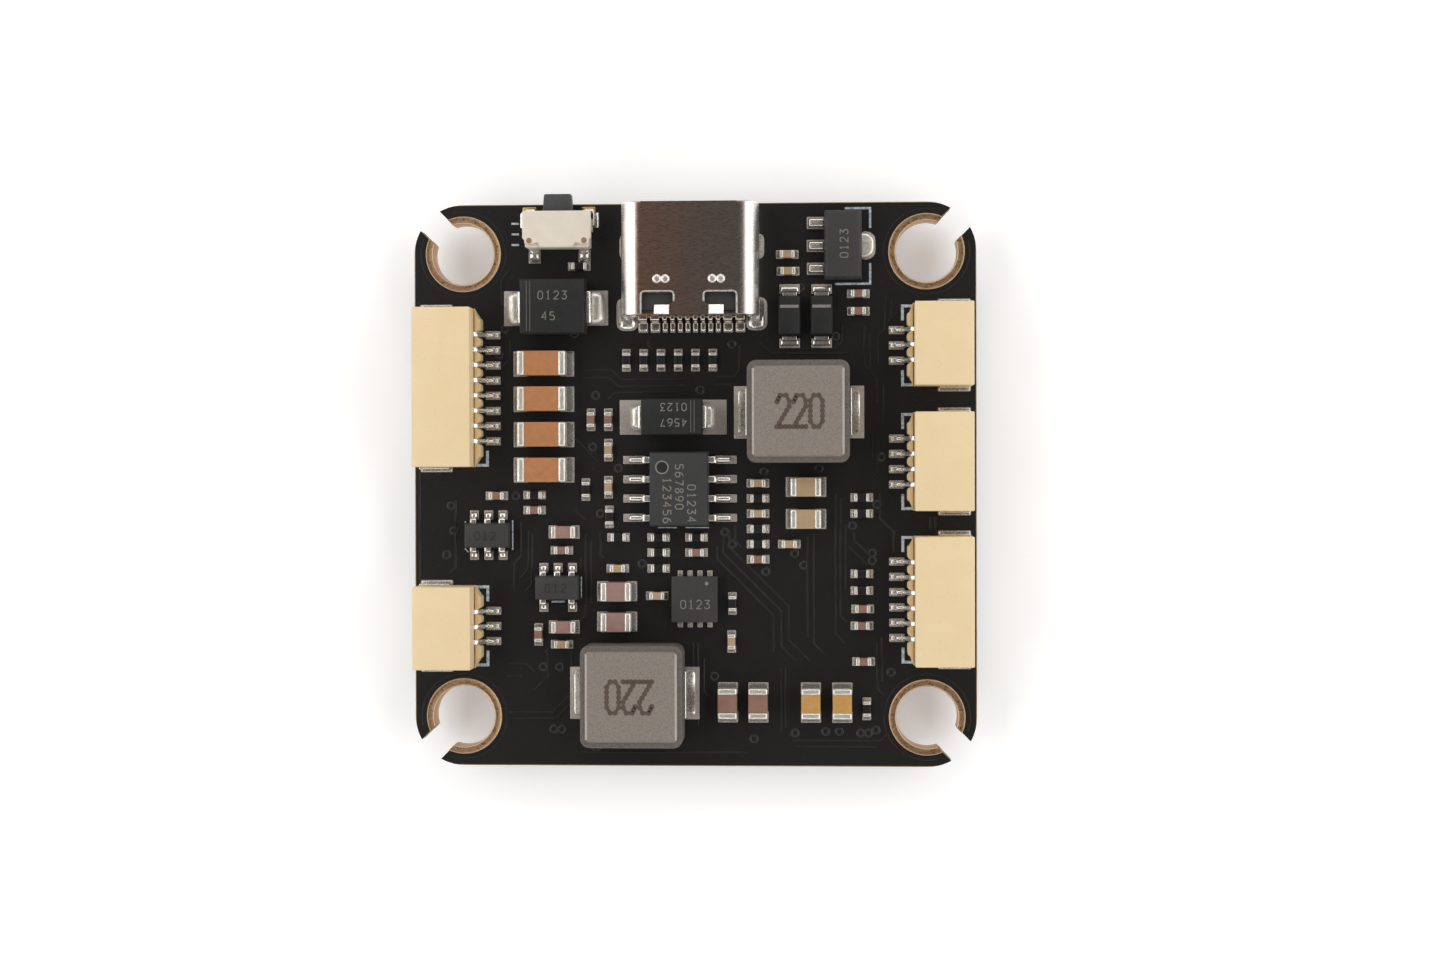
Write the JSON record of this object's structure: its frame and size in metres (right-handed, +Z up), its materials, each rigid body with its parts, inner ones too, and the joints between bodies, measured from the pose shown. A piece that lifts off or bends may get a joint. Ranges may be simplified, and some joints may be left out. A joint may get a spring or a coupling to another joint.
{
  "type": "flight controller board",
  "caption": "Square drone flight controller board: USB socket, side wire sockets, power inductors, chips and an edge push button on a black circuit board with slotted corner mounting holes.",
  "frame": {"origin": "centre of the four mounting holes, on the circuit board's lower face", "axes": "+Z up out of the face with the sockets, +Y towards the edge with the USB socket and the push button, +X to the right when seen from above with the USB socket at the top"},
  "size_m": [0.037, 0.0376, 0.0063],
  "materials": {
    "board_laminate": "semi-gloss black solder mask on glass-fibre laminate",
    "copper": "satin plated copper",
    "socket_steel": "nickel-plated steel with a fine brushed grain",
    "black_insulator": "satin black moulded plastic",
    "tinned_metal": "bright tin over copper alloy",
    "ivory_plastic": "satin ivory moulded plastic",
    "grey_plastic": "satin dark grey moulded plastic",
    "spring_steel": "polished spring steel",
    "cream_plastic": "satin cream moulded nylon",
    "iron_powder": "matt warm grey pressed iron powder",
    "capacitor_orange": "matt orange-brown fired ceramic",
    "capacitor_tan": "matt tan fired ceramic",
    "capacitor_grey": "matt grey-tan fired ceramic",
    "capacitor_brown": "matt brown fired ceramic",
    "resistor_glass": "black glaze over white ceramic",
    "can_metal": "satin nickel lid",
    "black_epoxy": "matt black moulded epoxy"
  },
  "bodies": {
    "board": {"barometer": "can_metal", "buck_converter_body": "black_epoxy", "buck_converter_leads": "tinned_metal", "button_base": "ivory_plastic", "button_cover": "ivory_plastic", "button_dome": "spring_steel", "button_terminals": "tinned_metal", "capacitor_terminals": "tinned_metal", "circuit_board": "board_laminate", "crystals": "can_metal", "filter_capacitor_bodies": "capacitor_grey", "first_inductor_core": "iron_powder", "first_inductor_terminals": "tinned_metal", "flash_memory": "black_epoxy", "hole_plating": "copper", "input_capacitor_bodies": "capacitor_orange", "light_socket_housing": "cream_plastic", "light_socket_pins": "tinned_metal", "light_socket_tabs": "tinned_metal", "load_switch_body": "black_epoxy", "load_switch_leads": "tinned_metal", "logic_regulator_body": "black_epoxy", "logic_regulator_leads": "tinned_metal", "main_regulator_body": "black_epoxy", "main_regulator_leads": "tinned_metal", "motion_sensor": "black_epoxy", "motor_socket_housing": "cream_plastic", "motor_socket_pins": "tinned_metal", "motor_socket_tabs": "tinned_metal", "output_capacitor_bodies": "capacitor_tan", "overlay_chip_body": "black_epoxy", "overlay_chip_leads": "tinned_metal", "processor_body": "black_epoxy", "processor_leads": "tinned_metal", "receiver_socket_housing": "cream_plastic", "receiver_socket_pins": "tinned_metal", "receiver_socket_tabs": "tinned_metal", "rectifier_diode_body": "black_epoxy", "rectifier_diode_terminals": "tinned_metal", "resistor_bodies": "resistor_glass", "resistor_terminals": "tinned_metal", "second_converter_body": "black_epoxy", "second_converter_pads": "tinned_metal", "second_inductor_core": "iron_powder", "second_inductor_terminals": "tinned_metal", "sensor_socket_housing": "cream_plastic", "sensor_socket_pins": "tinned_metal", "sensor_socket_tabs": "tinned_metal", "signal_diode_bodies": "black_epoxy", "signal_diode_terminals": "tinned_metal", "small_capacitor_bodies": "capacitor_brown", "surge_diode_body": "black_epoxy", "surge_diode_terminals": "tinned_metal", "usb_contacts": "tinned_metal", "usb_insulator": "black_insulator", "usb_shell": "socket_steel", "video_socket_housing": "cream_plastic", "video_socket_pins": "tinned_metal", "video_socket_tabs": "tinned_metal"},
    "button": {"button_plunger": "grey_plastic"}
  },
  "joints": [
    {"name": "button_press", "type": "slide", "parent": "board", "child": "button", "axis": [0, -1, 0], "range_m": [0, 0.00025], "stiffness_N_per_m": 6400, "deforming": ["button_dome"]}
  ]
}
